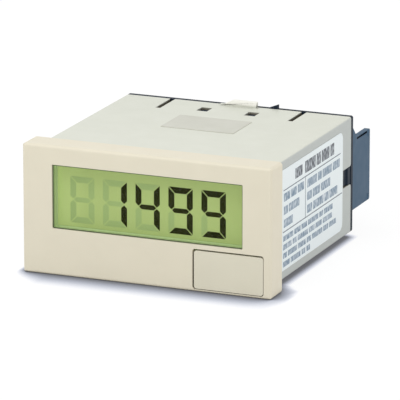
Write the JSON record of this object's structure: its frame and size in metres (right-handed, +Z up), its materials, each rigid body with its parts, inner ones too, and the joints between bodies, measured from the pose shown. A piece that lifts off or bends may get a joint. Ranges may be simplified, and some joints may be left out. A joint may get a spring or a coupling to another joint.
{
  "type": "digital tachometer",
  "caption": "Panel-mounted digital tachometer: a shallow cream bezel with a green liquid crystal display and a blank key, a box-shaped case with a latch tongue and a screw terminal block.",
  "frame": {"origin": "centre of the front bezel's rear face, in the plane of the panel's front surface", "axes": "+X to the right seen from the front, +Y into the panel, +Z up"},
  "size_m": [0.048, 0.0537, 0.0241],
  "materials": {
    "bezel_cream": "fine satin, warm cream",
    "blank_cream": "fine satin, a shade greyer than the bezel",
    "case_cream": "satin, cooler grey cream",
    "window_clear": "clear, glossy",
    "grey_label": "matte foil",
    "white_label": "satin foil",
    "polarizer": "grey green film",
    "cell_glass": "clear glass",
    "cell_seal": "cured seal",
    "segment_dark": "nearly black",
    "segment_pale": "a little darker than the ground",
    "reflector_green": "pale green film",
    "frame_white": "moulded, plain",
    "strip_rubber": "conductive rubber",
    "board_green": "solder resist",
    "component_black": "moulded epoxy",
    "can_metal": "drawn can",
    "ceramic_tan": "fired ceramic",
    "cell_steel": "nickel-plated steel",
    "contact_brass": "sprung strip, plated",
    "frame_slate": "dark slate moulding",
    "block_slate": "slate-blue moulding",
    "plate_tin": "tin-plated brass",
    "washer_steel": "zinc-plated steel",
    "screw_steel": "zinc-plated steel"
  },
  "bodies": {
    "root": {"front_bezel": "bezel_cream", "display_window": "window_clear", "key_blank": "blank_cream", "case_sleeve": "case_cream", "top_label": "grey_label", "side_label": "white_label", "lcd_polarizer": "polarizer", "lcd_front_glass": "cell_glass", "lcd_seal": "cell_seal", "segments_lit": "segment_dark", "segments_idle": "segment_pale", "lcd_rear_glass": "cell_glass", "lcd_reflector": "reflector_green", "lcd_frame": "frame_white", "contact_strip": "strip_rubber", "display_board": "board_green", "main_board": "board_green", "board_header": "component_black", "controller_chip": "component_black", "crystal_can": "can_metal", "smoothing_capacitor": "can_metal", "chip_capacitors": "ceramic_tan", "chip_resistors": "component_black", "input_coupler": "component_black", "battery_cell": "cell_steel", "battery_negative_contact": "contact_brass", "battery_positive_contact": "contact_brass", "rear_frame": "frame_slate", "terminal_block": "block_slate", "terminal_plates": "plate_tin", "clamp_washers": "washer_steel", "terminal_screws": "screw_steel"}
  },
  "joints": []
}
